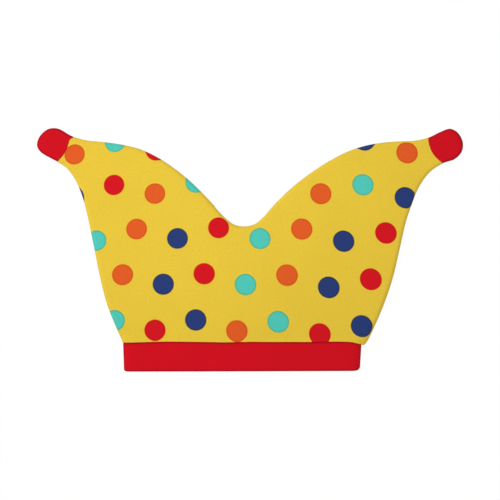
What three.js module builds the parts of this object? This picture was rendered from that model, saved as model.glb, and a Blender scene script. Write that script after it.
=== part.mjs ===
// A two-horned jester hat of soft jersey, as it lies flat on its back panel.
// Millimetres: +X runs across the hat, +Y from the rim towards the horns and +Z up.
// A front and a back sheet meet in one seam all round the edge. Each sheet is a panel in two
// halves that meet at the dip, with a cap at either horn's end. A folded band closes the
// opening's edge.

import * as THREE from 'three';

// Sizes across the hat, laid flat
const HAT_WIDTH = 450; // from the end of one cap to the end of the other
const HORN_HEIGHT = 226.6; // from the band's seam up to the top of the caps
const DIP_HEIGHT = 122.5; // from the band's seam up to the dip between the horns
const DIP_SHIFT = -6.5; // the dip's place, from the middle of the hat
const BAND_WIDTH = 252; // at the band's seam
const BAND_SHIFT = -8.1; // the middle of the band, from the middle of the hat
const BAND_HEIGHT = 31; // from the band's seam to the rim
const BAND_TAPER = { left: 1, right: 1.7 }; // how far each end of the band moves in by the rim
const RIM_CORNER = { left: 2.5, right: 5 }; // radii of the band's lower corners
const CAP_BOW = { left: 3, right: 2.6 }; // how far each cap's seam bows towards the dip
const CAP_BOW_ROWS = 1.5; // table rows over which the bow dies away

// Heights above the table, and the walls
const SEAM_LEVEL = 6.5; // the seam between front and back
const BODY_LEVEL = 17; // the front of the crown and the full horns
const BAND_LEVEL = 14; // the front of the band
const DOME_RISE = 5; // what the middle of the crown adds
const FABRIC_WALL = 2;
const BAND_WALL = 3; // two layers, folded at the rim
const SEAM_GAP = 0.3; // clearance between pieces that are sewn together

// Distances over which the cloth turns and swells
const FRONT_ROLL = 15; // from the seam to the flat of the front
const BACK_ROLL = 9; // from the seam to the flat of the back
const CAP_ROLL = 13.5; // the same in the caps, which are narrower
const ROLL_SHARE = 0.42; // the most of a cross section that one rolled edge takes
const GATHER_LENGTH = 24; // from the band's seam to the crown's full height
const DOME_REACH = { across: 100, along: 62 };
const DOME_CENTRE = 48; // above the band's seam

// How finely the cloth is divided
const STEPS_PER_ROW = 2; // sections from one table row to the next
const ROLL_STEPS = 4; // strips across each rolled edge
const FLAT_STEPS = 3; // strips between the rolled edges
const FOLD_STEPS = 4; // strips round the fold at the rim
const OUTLINE_STEPS = 6; // straight pieces of outline for each row, to measure distances to

// Cross sections of a horn, from the end of its cap to the band's corner. Each joins a point on
// the hat's side to a point on its top edge.
//   flare  place of the side point: 0 at the band's corner, 1 at the hat's end
//   rise   its height, as a share of HORN_HEIGHT
//   reach  place of the top point: 0 at the dip, 1 at the hat's end
//   lift   its height: 0 at the dip, 1 at the top of the caps
//   puff   how far the cloth stands up there, as a share of the crown's
const HORN_SECTIONS = {
  left: [
    { flare: 0.986, rise: 0.947, reach: 0.994, lift: 0.884, puff: 0.95 },
    { flare: 0.998, rise: 0.915, reach: 0.974, lift: 0.946, puff: 0.95 },
    { flare: 0.953, rise: 0.886, reach: 0.94, lift: 0.993, puff: 0.95 },
    { flare: 0.867, rise: 0.864, reach: 0.896, lift: 0.993, puff: 0.9 },
    { flare: 0.763, rise: 0.842, reach: 0.842, lift: 0.93, puff: 0.8 },
    { flare: 0.659, rise: 0.814, reach: 0.807, lift: 0.898, puff: 0.78 },
    { flare: 0.561, rise: 0.763, reach: 0.751, lift: 0.871, puff: 0.84 },
    { flare: 0.492, rise: 0.703, reach: 0.673, lift: 0.855, puff: 0.92 },
    { flare: 0.444, rise: 0.642, reach: 0.59, lift: 0.83, puff: 0.98 },
    { flare: 0.396, rise: 0.56, reach: 0.503, lift: 0.784, puff: 1 },
    { flare: 0.336, rise: 0.442, reach: 0.416, lift: 0.699, puff: 1 },
    { flare: 0.271, rise: 0.313, reach: 0.335, lift: 0.587, puff: 1 },
    { flare: 0.192, rise: 0.187, reach: 0.26, lift: 0.459, puff: 1 },
    { flare: 0.099, rise: 0.089, reach: 0.21, lift: 0.358, puff: 1 },
    { flare: 0, rise: 0, reach: 0.164, lift: 0.258, puff: 1 },
  ],
  right: [
    { flare: 0.979, rise: 0.958, reach: 0.99, lift: 0.908, puff: 0.95 },
    { flare: 1, rise: 0.923, reach: 0.969, lift: 0.965, puff: 0.95 },
    { flare: 0.985, rise: 0.887, reach: 0.939, lift: 0.992, puff: 0.95 },
    { flare: 0.918, rise: 0.854, reach: 0.897, lift: 0.961, puff: 0.9 },
    { flare: 0.804, rise: 0.835, reach: 0.841, lift: 0.902, puff: 0.8 },
    { flare: 0.695, rise: 0.803, reach: 0.779, lift: 0.871, puff: 0.78 },
    { flare: 0.616, rise: 0.762, reach: 0.715, lift: 0.864, puff: 0.84 },
    { flare: 0.545, rise: 0.704, reach: 0.642, lift: 0.853, puff: 0.92 },
    { flare: 0.489, rise: 0.635, reach: 0.558, lift: 0.821, puff: 0.98 },
    { flare: 0.439, rise: 0.565, reach: 0.473, lift: 0.759, puff: 1 },
    { flare: 0.377, rise: 0.438, reach: 0.389, lift: 0.663, puff: 1 },
    { flare: 0.309, rise: 0.302, reach: 0.311, lift: 0.551, puff: 1 },
    { flare: 0.228, rise: 0.187, reach: 0.242, lift: 0.436, puff: 1 },
    { flare: 0.104, rise: 0.049, reach: 0.199, lift: 0.353, puff: 1 },
    { flare: 0.065, rise: 0.011, reach: 0.177, lift: 0.305, puff: 1 },
    { flare: 0, rise: 0, reach: 0.155, lift: 0.258, puff: 1 },
  ],
};
const CAP_SEAM_ROW = 4; // the section where cap and panel are sewn together

// Cross sections of the crown, from beside the band's corner to beside its middle. Each joins a
// point on the band's seam to a point on the top edge.
//   along  place of the seam point: 0 at the band's corner, 1 at its middle
const CROWN_SECTIONS = {
  left: [
    { along: 0.02, reach: 0.149, lift: 0.223 },
    { along: 0.08, reach: 0.13, lift: 0.173 },
    { along: 0.32, reach: 0.094, lift: 0.094 },
    { along: 0.66, reach: 0.049, lift: 0.021 },
  ],
  right: [
    { along: 0.02, reach: 0.143, lift: 0.23 },
    { along: 0.08, reach: 0.125, lift: 0.186 },
    { along: 0.32, reach: 0.092, lift: 0.099 },
    { along: 0.66, reach: 0.049, lift: 0.022 },
  ],
};

const YELLOW = new THREE.MeshStandardMaterial({ color: '#e5c240', roughness: 0.85, metalness: 0 });
const RED = new THREE.MeshStandardMaterial({ color: '#cf1421', roughness: 0.85, metalness: 0 });

// Places that follow from the sizes
const HAT_END = { left: -HAT_WIDTH / 2, right: HAT_WIDTH / 2 };
const BAND_END = { left: BAND_SHIFT - BAND_WIDTH / 2, right: BAND_SHIFT + BAND_WIDTH / 2 };

const mix = (a, b, share) => a + (b - a) * share;
const ease = (share) => THREE.MathUtils.smoothstep(share, 0, 1);

// A quarter of an ellipse: it leaves 0 upright and reaches 1 level, at the roll's full width.
const rolled = (distance, width) =>
  Math.sqrt(1 - (1 - THREE.MathUtils.clamp(distance / width, 0, 1)) ** 2);

function sidePoint(side, { flare, rise }) {
  return new THREE.Vector3(mix(BAND_END[side], HAT_END[side], flare), rise * HORN_HEIGHT, 0);
}

function topPoint(side, { reach, lift }) {
  const x = mix(DIP_SHIFT, HAT_END[side], reach);
  return new THREE.Vector3(x, mix(DIP_HEIGHT, HORN_HEIGHT, lift), 0);
}

// The seam's outline: up one side of the hat, round both caps and the dip, and down the other.
function makeOutline() {
  const { left, right } = HORN_SECTIONS;
  const downTo = (rows) => rows.slice(1).reverse();
  return new THREE.CatmullRomCurve3(
    [
      ...downTo(left).map((row) => sidePoint('left', row)),
      ...left.map((row) => topPoint('left', row)),
      ...CROWN_SECTIONS.left.map((row) => topPoint('left', row)),
      new THREE.Vector3(DIP_SHIFT, DIP_HEIGHT, 0),
      ...downTo([null, ...CROWN_SECTIONS.right]).map((row) => topPoint('right', row)),
      ...downTo([null, ...right]).map((row) => topPoint('right', row)),
      ...right.slice(1).map((row) => sidePoint('right', row)),
    ],
    false,
    'centripetal',
  );
}

const outline = makeOutline();
const outlineRows = outline.points.length - 1;
const outlineAt = (row) => outline.getPoint(THREE.MathUtils.clamp(row / outlineRows, 0, 1));
const outlinePath = Array.from({ length: outlineRows * OUTLINE_STEPS + 1 }, (_, i) =>
  outlineAt(i / OUTLINE_STEPS),
);

// Sections are numbered from the left cap's end to the right cap's end.
const LEFT_CORNER = HORN_SECTIONS.left.length - 1;
const DIP_SECTION = LEFT_CORNER + CROWN_SECTIONS.left.length + 1;
const RIGHT_CORNER = DIP_SECTION + CROWN_SECTIONS.right.length + 1;
const LAST_SECTION = RIGHT_CORNER + HORN_SECTIONS.right.length - 1;
const LEFT_SEAM = CAP_SEAM_ROW;
const RIGHT_SEAM = LAST_SECTION - CAP_SEAM_ROW;

// Where the crown's sections start on the band's seam, from its left corner to its right one.
const seamStarts = [
  BAND_END.left,
  ...CROWN_SECTIONS.left.map(({ along }) => mix(BAND_END.left, BAND_SHIFT, along)),
  BAND_SHIFT,
  ...CROWN_SECTIONS.right.map(({ along }) => mix(BAND_END.right, BAND_SHIFT, along)).reverse(),
  BAND_END.right,
];

function bandPoint(section) {
  const row = Math.min(Math.floor(section - LEFT_CORNER), seamStarts.length - 2);
  const x = mix(seamStarts[row], seamStarts[row + 1], section - LEFT_CORNER - row);
  return new THREE.Vector3(x, 0, 0);
}

function lowerPoint(section) {
  if (section <= LEFT_CORNER) return outlineAt(LEFT_CORNER - section);
  if (section >= RIGHT_CORNER) return outlineAt(LEFT_CORNER + LAST_SECTION + (LAST_SECTION - section));
  return bandPoint(section);
}

const upperPoint = (section) => outlineAt(LEFT_CORNER + section);

function puffAt(section) {
  const fromEnd = Math.min(section, LAST_SECTION - section);
  const rows = section < LAST_SECTION / 2 ? HORN_SECTIONS.left : HORN_SECTIONS.right;
  const row = Math.floor(fromEnd);
  if (row >= rows.length - 1) return 1;
  return mix(rows[row].puff, rows[row + 1].puff, fromEnd - row);
}

// Distance from a point to the nearest stretch of the outline.
const nearest = new THREE.Vector3();
function outlineDistance(point) {
  let least = Infinity;
  const piece = new THREE.Line3();
  for (let i = 1; i < outlinePath.length; i++) {
    piece.set(outlinePath[i - 1], outlinePath[i]).closestPointToPoint(point, true, nearest);
    least = Math.min(least, nearest.distanceToSquared(point));
  }
  return Math.sqrt(least);
}

const domeAt = (x, y) =>
  DOME_RISE *
  Math.exp(
    -(((x - BAND_SHIFT) / DOME_REACH.across) ** 2) - ((y - DOME_CENTRE) / DOME_REACH.along) ** 2,
  );

// Height of the front and of the back sheet's outer face.
function frontLevel(point, distance, roll, puff) {
  const full = (BODY_LEVEL - SEAM_LEVEL) * puff;
  const rise = mix(BAND_LEVEL - SEAM_LEVEL, full, ease(point.y / GATHER_LENGTH));
  return SEAM_LEVEL + SEAM_GAP / 2 + (rise + domeAt(point.x, point.y)) * rolled(distance, roll);
}

function backLevel(distance) {
  return (SEAM_LEVEL - SEAM_GAP / 2) * (1 - rolled(distance, BACK_ROLL));
}

// Shares along a cross section, close together where its two ends roll over.
function crossShares(length) {
  const roll = Math.min(FRONT_ROLL, ROLL_SHARE * length) / length;
  const rise = Array.from({ length: ROLL_STEPS }, (_, i) =>
    roll * (1 - Math.cos((i / ROLL_STEPS) * (Math.PI / 2))),
  );
  const flat = Array.from({ length: FLAT_STEPS + 1 }, (_, i) => mix(roll, 1 - roll, i / FLAT_STEPS));
  return [...rise, ...flat, ...rise.map((share) => 1 - share).reverse()];
}

// The rows of a half whose end at the dip is moved off the other half, in the way X is signed.
function drawBack(rows, signX) {
  const end = signX < 0 ? rows.length - 1 : 0;
  const shift = new THREE.Vector3((signX * SEAM_GAP) / 2, 0, 0);
  return rows.map((points, i) => (i === end ? points.map((point) => point.clone().add(shift)) : points));
}

// Unit vector from a cap's seam to the cap's end.
function capDirection(side) {
  const [end, seam] = side === 'left' ? [0, LEFT_SEAM] : [LAST_SECTION, RIGHT_SEAM];
  const middle = lowerPoint(seam).lerp(upperPoint(seam), 0.5);
  return upperPoint(end).sub(middle).normalize();
}

// The points of one cross section, flat on the table, with the bow of the caps' seams.
function flatSection(section) {
  const lower = lowerPoint(section);
  const upper = upperPoint(section);
  const length = Math.max(lower.distanceTo(upper), SEAM_GAP);
  const bow = new THREE.Vector3();
  for (const [side, seam] of [['left', LEFT_SEAM], ['right', RIGHT_SEAM]]) {
    const fade = Math.exp(-(((section - seam) / CAP_BOW_ROWS) ** 2));
    bow.addScaledVector(capDirection(side), -CAP_BOW[side] * fade);
  }
  return crossShares(length).map((share) =>
    lower.clone().lerp(upper, share).addScaledVector(bow, 4 * share * (1 - share)),
  );
}

// The sheets' outer faces, as rows of points from the left cap's end to the right cap's end.
function makeFaces() {
  const count = LAST_SECTION * STEPS_PER_ROW;
  const front = [];
  const back = [];
  for (let i = 0; i <= count; i++) {
    const section = i / STEPS_PER_ROW;
    const points = flatSection(section);
    const distances = points.map(outlineDistance);
    distances[points.length - 1] = 0;
    if (section <= LEFT_CORNER || section >= RIGHT_CORNER) distances[0] = 0;
    const middle = distances[Math.floor(points.length / 2)];
    const roll = Math.max(CAP_ROLL, Math.min(FRONT_ROLL, middle));
    const raised = (level) => points.map((p, k) => new THREE.Vector3(p.x, p.y, level(p, distances[k])));
    front.push(raised((p, distance) => frontLevel(p, distance, roll, puffAt(section))));
    back.push(raised((p, distance) => backLevel(distance)));
  }
  return { front, back };
}

// Outward unit normals of a face. At the hat's edge they lie level, and along the band's seam
// they lie square to the hat's length, so that the walls' ends are flat.
function faceNormals(face, upward) {
  const last = face.length - 1;
  return face.map((points, i) =>
    points.map((point, k) => {
      const before = face[Math.max(i - 1, 0)][k];
      const after = face[Math.min(i + 1, last)][k];
      const lower = points[Math.max(k - 1, 0)];
      const upper = points[Math.min(k + 1, points.length - 1)];
      const along = after.clone().sub(before);
      const across = upper.clone().sub(lower);
      const section = i / STEPS_PER_ROW;
      const onBand = k === 0 && section >= LEFT_CORNER && section <= RIGHT_CORNER;
      const onEdge = k === points.length - 1 || (k === 0 && !onBand);
      if (i === 0 || i === last) return capDirection(i === 0 ? 'left' : 'right');
      const normal = along.cross(across).multiplyScalar(upward ? 1 : -1);
      if (onBand && (section === LEFT_CORNER || section === RIGHT_CORNER)) {
        return new THREE.Vector3(section === LEFT_CORNER ? -1 : 1, 0, 0);
      }
      if (onEdge) {
        const outward = k === 0 ? lower.clone().sub(upper) : upper.clone().sub(lower);
        const tangent = after.clone().sub(before).setZ(0);
        normal.set(-tangent.y, tangent.x, 0);
        if (normal.dot(outward) < 0) normal.negate();
      }
      if (onBand) normal.setY(0);
      return normal.normalize();
    }),
  );
}

// A closed wall between a face and the same face moved inwards. A section whose points all
// coincide closes to a single point.
function makeWall(face, normals, thickness, upward) {
  const rows = face.length;
  const columns = face[0].length;
  const positions = [];
  const closes = face.map((points) => points[0].distanceTo(points[columns - 1]) < SEAM_GAP / 2);
  const numbers = [];
  for (const inset of [0, thickness]) {
    const layer = face.map((points, i) => {
      if (closes[i]) {
        const at = points[0].clone().addScaledVector(normals[i][0], -inset);
        positions.push(at.x, at.y, at.z);
        return new Array(columns).fill(positions.length / 3 - 1);
      }
      return points.map((point, k) => {
        const at = point.clone().addScaledVector(normals[i][k], -inset);
        positions.push(at.x, at.y, at.z);
        return positions.length / 3 - 1;
      });
    });
    numbers.push(layer);
  }
  const [outer, inner] = numbers;
  const index = [];
  const addTriangle = (a, b, c) => {
    if (a === b || b === c || c === a) return;
    index.push(...(upward ? [a, b, c] : [a, c, b]));
  };
  const addQuad = (a, b, c, d) => {
    addTriangle(a, b, c);
    addTriangle(a, c, d);
  };
  for (let i = 1; i < rows; i++) {
    for (let k = 1; k < columns; k++) {
      addQuad(outer[i - 1][k - 1], outer[i][k - 1], outer[i][k], outer[i - 1][k]);
      addQuad(inner[i - 1][k - 1], inner[i - 1][k], inner[i][k], inner[i][k - 1]);
    }
    const top = columns - 1;
    addQuad(outer[i][0], outer[i - 1][0], inner[i - 1][0], inner[i][0]);
    addQuad(outer[i - 1][top], outer[i][top], inner[i][top], inner[i - 1][top]);
  }
  const end = rows - 1;
  for (let k = 1; k < columns; k++) {
    addQuad(outer[0][k - 1], outer[0][k], inner[0][k], inner[0][k - 1]);
    addQuad(outer[end][k], outer[end][k - 1], inner[end][k - 1], inner[end][k]);
  }
  return closedGeometry(positions, index);
}

function closedGeometry(positions, index) {
  const geometry = new THREE.BufferGeometry();
  geometry.setAttribute('position', new THREE.Float32BufferAttribute(positions, 3));
  geometry.setIndex(index);
  geometry.computeVertexNormals();
  return geometry;
}

// One ring round the band at a distance below its seam, moved inwards by inset.
function bandRing(below, inset) {
  const ends = {};
  for (const side of ['left', 'right']) {
    const radius = RIM_CORNER[side];
    const intoCorner = Math.max(0, below - (BAND_HEIGHT - radius));
    const cornerInset = radius - Math.sqrt(Math.max(0, radius ** 2 - intoCorner ** 2));
    const inward = side === 'left' ? 1 : -1;
    ends[side] = BAND_END[side] + inward * (BAND_TAPER[side] * (below / BAND_HEIGHT) + cornerInset);
  }
  const places = seamStarts.flatMap((x, i) =>
    i === 0 ? [x] : [mix(seamStarts[i - 1], x, 0.5), x],
  );
  const across = (x) => mix(ends.left, ends.right, (x - BAND_END.left) / BAND_WIDTH);
  const front = places.map((place) => {
    const x = across(place);
    const distance = Math.min(x - ends.left, ends.right - x);
    const rise = BAND_LEVEL - SEAM_LEVEL + domeAt(x, 0);
    return new THREE.Vector2(x, SEAM_LEVEL + rise * rolled(distance, FRONT_ROLL));
  });
  const back = front.slice(1, -1).map(({ x }) => {
    const distance = Math.min(x - ends.left, ends.right - x);
    return new THREE.Vector2(x, SEAM_LEVEL * (1 - rolled(distance, BACK_ROLL)));
  });
  const ring = [...front, ...back.reverse()];
  return ring.map((point, i) => {
    const before = ring[(i + ring.length - 1) % ring.length];
    const after = ring[(i + 1) % ring.length];
    const normal = new THREE.Vector2(-(after.y - before.y), after.x - before.x).normalize();
    const at = point.clone().addScaledVector(normal, -inset);
    return new THREE.Vector3(at.x, -below, at.y);
  });
}

// The band: rings down its outside, round the fold at the rim and up its inside.
function makeBand() {
  const fold = BAND_WALL / 2;
  const corner = Math.max(RIM_CORNER.left, RIM_CORNER.right);
  const stops = [SEAM_GAP, BAND_HEIGHT / 2, BAND_HEIGHT - corner, BAND_HEIGHT - corner / 2];
  const levels = [...stops.filter((below) => below < BAND_HEIGHT - fold), BAND_HEIGHT - fold];
  const folded = Array.from({ length: FOLD_STEPS - 1 }, (_, i) => {
    const turn = ((i + 1) / FOLD_STEPS) * Math.PI;
    return [BAND_HEIGHT - fold + fold * Math.sin(turn), fold * (1 - Math.cos(turn))];
  });
  const rings = [
    ...levels.map((below) => bandRing(below, 0)),
    ...folded.map(([below, inset]) => bandRing(below, inset)),
    ...levels.reverse().map((below) => bandRing(below, BAND_WALL)),
  ];
  const positions = rings.flatMap((ring) => ring.flatMap((point) => point.toArray()));
  const sides = rings[0].length;
  const index = [];
  rings.forEach((_, i) => {
    const next = (i + 1) % rings.length;
    for (let k = 0; k < sides; k++) {
      const [a, b] = [i * sides + k, i * sides + ((k + 1) % sides)];
      const [c, d] = [next * sides + ((k + 1) % sides), next * sides + k];
      index.push(a, c, b, a, d, c);
    }
  });
  return closedGeometry(positions, index);
}

function addMesh(parent, name, geometry, material) {
  const mesh = new THREE.Mesh(geometry, material);
  mesh.name = name;
  parent.add(mesh);
  return mesh;
}

const hat = new THREE.Group();
hat.name = 'jester_hat';

const capGroups = {};
for (const side of ['left', 'right']) {
  capGroups[side] = new THREE.Group();
  capGroups[side].position.copy(capDirection(side).multiplyScalar(SEAM_GAP));
  hat.add(capGroups[side]);
}

const faces = makeFaces();
for (const [name, face] of Object.entries(faces)) {
  const upward = name === 'front';
  const normals = faceNormals(face, upward);
  const wall = (from, to, drawnBack = 0) => {
    const span = [from * STEPS_PER_ROW, to * STEPS_PER_ROW + 1];
    const rows = drawBack(face.slice(...span), drawnBack);
    return makeWall(rows, normals.slice(...span), FABRIC_WALL, upward);
  };
  addMesh(hat, `${name}_panel_left`, wall(LEFT_SEAM, DIP_SECTION, -1), YELLOW);
  addMesh(hat, `${name}_panel_right`, wall(DIP_SECTION, RIGHT_SEAM, 1), YELLOW);
  addMesh(capGroups.left, `left_cap_${name}`, wall(0, LEFT_SEAM), RED);
  addMesh(capGroups.right, `right_cap_${name}`, wall(RIGHT_SEAM, LAST_SECTION), RED);
}
addMesh(hat, 'band', makeBand(), RED);

// The origin is on the table, under the middle of the hat's box.
const box = new THREE.Box3().setFromObject(hat);
const middle = box.getCenter(new THREE.Vector3());
hat.position.set(-middle.x, -middle.y, -box.min.z);

export default hat;
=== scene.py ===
import math
from typing import NamedTuple

import bmesh
import bpy
import numpy as np
from mathutils import Matrix, Vector


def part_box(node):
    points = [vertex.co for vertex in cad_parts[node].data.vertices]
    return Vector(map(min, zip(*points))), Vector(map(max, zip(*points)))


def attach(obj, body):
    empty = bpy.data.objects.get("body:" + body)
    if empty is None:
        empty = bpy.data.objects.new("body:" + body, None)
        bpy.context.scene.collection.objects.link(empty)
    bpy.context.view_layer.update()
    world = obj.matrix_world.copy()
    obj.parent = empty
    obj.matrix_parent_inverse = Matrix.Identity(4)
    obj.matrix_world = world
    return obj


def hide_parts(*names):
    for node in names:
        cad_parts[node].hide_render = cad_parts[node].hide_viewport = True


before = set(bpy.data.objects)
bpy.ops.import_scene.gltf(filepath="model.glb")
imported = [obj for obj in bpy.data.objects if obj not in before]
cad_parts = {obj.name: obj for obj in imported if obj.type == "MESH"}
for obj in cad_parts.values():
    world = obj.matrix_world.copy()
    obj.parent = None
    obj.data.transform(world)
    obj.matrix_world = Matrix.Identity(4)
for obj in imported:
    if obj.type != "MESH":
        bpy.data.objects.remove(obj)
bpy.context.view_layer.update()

bl_info = {
    "name": "Jester Hat",
    "version": (1, 0, 0),
    "blender": (4, 5, 0),
    "location": "3D View > Sidebar > Jester Hat",
    "description": "Makes a soft two-horned jester hat in dotted jersey, laid flat on its back panel",
    "category": "Object",
}

# All lengths in this file are in metres. The hat lies flat: X runs across it, Y from the rim
# towards the horns and Z up. Plan points count Y from the seam between band and crown.
MM = 0.001
TINY = 1e-6

# Seams and clearances
SEAM_GAP = 0.3 * MM  # between pieces that are sewn together
TUCK_DEPTH = 0.7 * MM  # how far the side seams draw the cloth in
TUCK_HEIGHT = 0.6 * MM  # how far above and below a seam that reaches
EDGE_PROUD = 0.2 * MM  # how far the panels' edges bulge out again
EDGE_REACH = 1.2 * MM  # from an edge, how far its bulge or overhang reaches
TIP_REACH = 2.5 * MM  # round a cap's tip, where inward turns from one side to the other
SEAM_RISE = 1.2 * MM  # how far the band's seam bows up over a straight line
SEAM_OVERHANG = 0.6 * MM  # how far the crown hangs over the band
BAND_SEAM_ROUND = 2.2 * MM  # over which crown and band turn down into their seam
BAND_SEAM_DROP = 0.15 * MM  # how far the crown sinks there
BAND_TUCK = 1.4 * MM  # how far the band sinks there
BAND_LAYER_GAP = 0.2 * MM  # between the two layers of the folded band
RIM_SHORT = 0.5 * MM  # how much the rim's middle falls short of the band's height
RIM_TILT = 0.7 * MM  # how much higher the rim's right end lies than its left one

# Distances over which the cloth turns, swells and puckers
HORN_ROLL = 3.4 * MM  # from a side seam to the flat of the front
BACK_ROLL = 9 * MM  # from a side seam to the flat of the back
GATHER_LENGTH = 24 * MM  # from the band's seam to the crown's full height
DOME_ACROSS = 100 * MM  # over which the soft rise of the crown's middle dies away
DOME_ALONG = 62 * MM
DOME_CENTRE = 48 * MM  # above the band's seam
PUCKER_REACH = 5 * MM  # from a seam, over which its puckers die away

# The puckers along a seam. Each length is the way over which a wave's phase gains one radian
PUCKER_LENGTH = 1.05 * MM
PUCKER_SWAY = 1.4  # how far slower waves shift the puckers, in radians
PUCKER_SWAY_LENGTH = 11 * MM
PUCKER_JITTER = 0.6  # size of a quicker sway, as a share of the slow one
PUCKER_JITTER_LENGTH = 4.3 * MM
PUCKER_JITTER_PHASE = 1.9
PUCKER_FADE = 0.3  # how far their strength swings, either way
PUCKER_FADE_LENGTH = 17 * MM

# How finely the cloth is divided
CLOTH_STEP = 2 * MM  # the longest step from one cross section to the next
FEWEST_STEPS = 3  # from one table row to the next
OUTLINE_STEPS = 16  # pieces of outline for each table row, to measure distances to
WIDEST_ROLL = 15 * MM  # the finely divided stretch at each end of a cross section
ROLL_SHARE = 0.42  # the most of a cross section that it takes
ROLL_STEPS = 12  # across that stretch
ROLL_CROWDING = 1.8  # how strongly they crowd towards the edge
FLAT_STEPS = 56  # between the two stretches
BAND_ROLL_POINTS = 14  # across the same stretch at each end of the band
BAND_FLAT_POINTS = 120  # between the two
BAND_SEAM_STEPS = (0.0, 0.03, 0.1, 0.25, 0.5, 1.0)  # as shares of BAND_SEAM_ROUND
BAND_FIRST_LEVEL = 3 * MM  # below the seam, where the plain rings start
BAND_LEVELS = 10  # rings from there to the rim's corners
RIM_CORNER_LEVELS = 7  # rings round the corners
RIM_FOLD_STEPS = 7  # round the outside of the fold at the rim
RIM_CREASE_STEPS = 2  # round its inside
ARC_POINTS = 400  # along a rolled edge, to measure its length
POINTS_AT_ONCE = 2000  # when distances are measured, to save memory
WELD_GAP = 0.002 * MM  # points closer than this become one
SHARP_ANGLE = math.radians(50)

# The stage
FLOOR_REACH = 15.0
FLOOR_GAP = 0.1 * MM
KEY_PLACE = (-0.67, 0.28, 1.18)
KEY_AIM = (-0.07, 0.145, 0.0)
NEAREST_SEEN = 0.1
FARTHEST_SEEN = 2 * FLOOR_REACH


class HornSection(NamedTuple):
    """A cross section of a horn, from a point on the hat's side to one on its top edge."""

    flare: float  # place of the side point: 0 at the band's corner, 1 at the hat's end
    rise: float  # its height, as a share of the horns' height
    reach: float  # place of the top point: 0 at the dip, 1 at the hat's end
    lift: float  # its height: 0 at the dip, 1 at the top of the caps
    puff: float  # how far the cloth stands up, as a share of the crown's


class CrownSection(NamedTuple):
    """A cross section of the crown, from a point on the band's seam to one on the top edge."""

    along: float  # place of the seam point: 0 at the band's corner, 1 at its middle
    reach: float
    lift: float


class SeamDrop(NamedTuple):
    """A place where the seam between band and crown sags towards the rim."""

    at: float  # 0 at the band's left corner, 1 at its right one
    depth: float
    width: float


class BandEnd(NamedTuple):
    """One end of the band, laid flat."""

    taper: float  # how far it moves in by the rim
    corner: float  # radius of its lower corner
    roll: float  # from its edge to the flat of the front


class Wave(NamedTuple):
    """A broad wave in the cloth. Each length is the way over which a phase gains one radian."""

    across: float
    along: float
    phase: float
    sway: float  # how far a second wave shifts the first, in radians
    sway_across: float
    sway_along: float
    sway_phase: float


# From the end of each cap to the band's corner
LEFT_HORN = (
    HornSection(0.986, 0.947, 0.994, 0.884, 0.95),
    HornSection(0.998, 0.915, 0.974, 0.946, 0.95),
    HornSection(0.953, 0.886, 0.940, 0.993, 0.95),
    HornSection(0.867, 0.864, 0.896, 0.993, 0.90),
    HornSection(0.763, 0.842, 0.842, 0.930, 0.80),
    HornSection(0.659, 0.814, 0.807, 0.898, 0.78),
    HornSection(0.561, 0.763, 0.751, 0.871, 0.84),
    HornSection(0.492, 0.703, 0.673, 0.855, 0.92),
    HornSection(0.444, 0.642, 0.590, 0.830, 0.98),
    HornSection(0.396, 0.560, 0.503, 0.784, 1.00),
    HornSection(0.336, 0.442, 0.416, 0.699, 1.00),
    HornSection(0.271, 0.313, 0.335, 0.587, 1.00),
    HornSection(0.192, 0.187, 0.260, 0.459, 1.00),
    HornSection(0.099, 0.089, 0.210, 0.358, 1.00),
    HornSection(0.000, -0.002, 0.164, 0.258, 1.00),
)
RIGHT_HORN = (
    HornSection(0.979, 0.958, 0.990, 0.908, 0.95),
    HornSection(1.000, 0.923, 0.969, 0.965, 0.95),
    HornSection(0.985, 0.887, 0.939, 0.992, 0.95),
    HornSection(0.918, 0.854, 0.897, 0.961, 0.90),
    HornSection(0.804, 0.835, 0.841, 0.902, 0.80),
    HornSection(0.695, 0.803, 0.779, 0.871, 0.78),
    HornSection(0.616, 0.762, 0.715, 0.864, 0.84),
    HornSection(0.545, 0.704, 0.642, 0.853, 0.92),
    HornSection(0.489, 0.635, 0.558, 0.821, 0.98),
    HornSection(0.439, 0.565, 0.473, 0.759, 1.00),
    HornSection(0.377, 0.438, 0.389, 0.663, 1.00),
    HornSection(0.309, 0.302, 0.311, 0.551, 1.00),
    HornSection(0.228, 0.187, 0.242, 0.436, 1.00),
    HornSection(0.104, 0.049, 0.199, 0.353, 1.00),
    HornSection(0.069, 0.016, 0.184, 0.321, 1.00),
    HornSection(0.050, 0.001, 0.176, 0.303, 1.00),
    HornSection(0.026, -0.0115, 0.166, 0.281, 1.00),
    HornSection(0.000, -0.010, 0.155, 0.258, 1.00),
)
LEFT_CROWN = (
    CrownSection(0.02, 0.149, 0.223),
    CrownSection(0.08, 0.130, 0.173),
    CrownSection(0.32, 0.094, 0.094),
    CrownSection(0.66, 0.049, 0.021),
)
RIGHT_CROWN = (
    CrownSection(0.02, 0.143, 0.230),
    CrownSection(0.08, 0.125, 0.186),
    CrownSection(0.32, 0.092, 0.099),
    CrownSection(0.66, 0.049, 0.022),
)
SEAM_DROPS = (
    SeamDrop(at=0.0, depth=0.7 * MM, width=28 * MM),
    SeamDrop(at=0.19, depth=-0.4 * MM, width=24 * MM),
    SeamDrop(at=0.42, depth=0.4 * MM, width=12 * MM),
    SeamDrop(at=0.54, depth=-0.2 * MM, width=10 * MM),
    SeamDrop(at=0.89, depth=-0.4 * MM, width=12 * MM),
    SeamDrop(at=1.0, depth=2.5 * MM, width=7 * MM),
)
BAND_LEFT = BandEnd(taper=1.0 * MM, corner=2.5 * MM, roll=13 * MM)
BAND_RIGHT = BandEnd(taper=1.7 * MM, corner=5.0 * MM, roll=9 * MM)

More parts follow.
